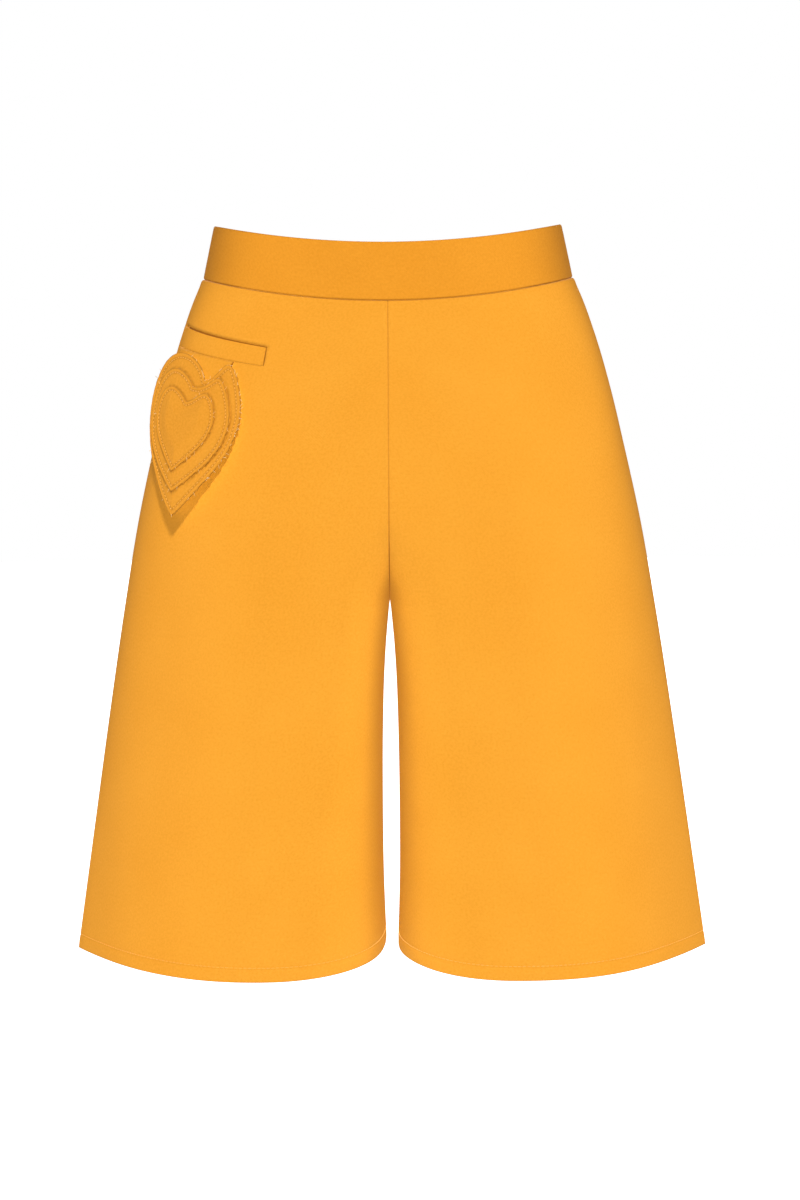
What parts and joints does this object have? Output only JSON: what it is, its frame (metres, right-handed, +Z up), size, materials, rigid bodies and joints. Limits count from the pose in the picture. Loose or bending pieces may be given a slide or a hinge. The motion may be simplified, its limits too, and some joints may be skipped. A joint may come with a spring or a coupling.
{
  "type": "bermuda shorts",
  "caption": "Wide-legged, high-waisted bermuda shorts, hollow as if worn, with a curved waistband, a slanted welt pocket, a hanging layered heart and a concealed zip at the back.",
  "frame": {"origin": "middle of the waist, level with the waistband's top edge at the side seams", "axes": "+X towards the wearer's left, +Y towards the wearer's back, +Z up"},
  "size_m": [0.469, 0.248, 0.5354],
  "materials": {
    "body_cloth": "matte cotton twill",
    "band_cloth": "matte cotton twill",
    "heart_cloth": "matte cotton with raw edges",
    "zip_tape": "woven tape",
    "lacquered_zinc": "satin lacquer"
  },
  "bodies": {
    "shorts": {"front_left": "body_cloth", "front_right": "body_cloth", "back_left": "body_cloth", "back_right": "body_cloth", "waistband_front": "band_cloth", "waistband_back_left": "band_cloth", "waistband_back_right": "band_cloth", "pocket_welt": "body_cloth", "pocket_bag": "body_cloth", "heart_tab": "body_cloth", "heart_base": "heart_cloth", "heart_middle": "heart_cloth", "heart_top": "heart_cloth", "zip_tape": "zip_tape", "zip_slider": "lacquered_zinc"},
    "pull": {"zip_pull": "lacquered_zinc"}
  },
  "joints": [
    {"name": "pull_swing", "type": "hinge", "parent": "shorts", "child": "pull", "pos_m": [0, 0.09405, -0.01891], "axis": [1, 0, 0], "range_deg": [0, 150]}
  ]
}
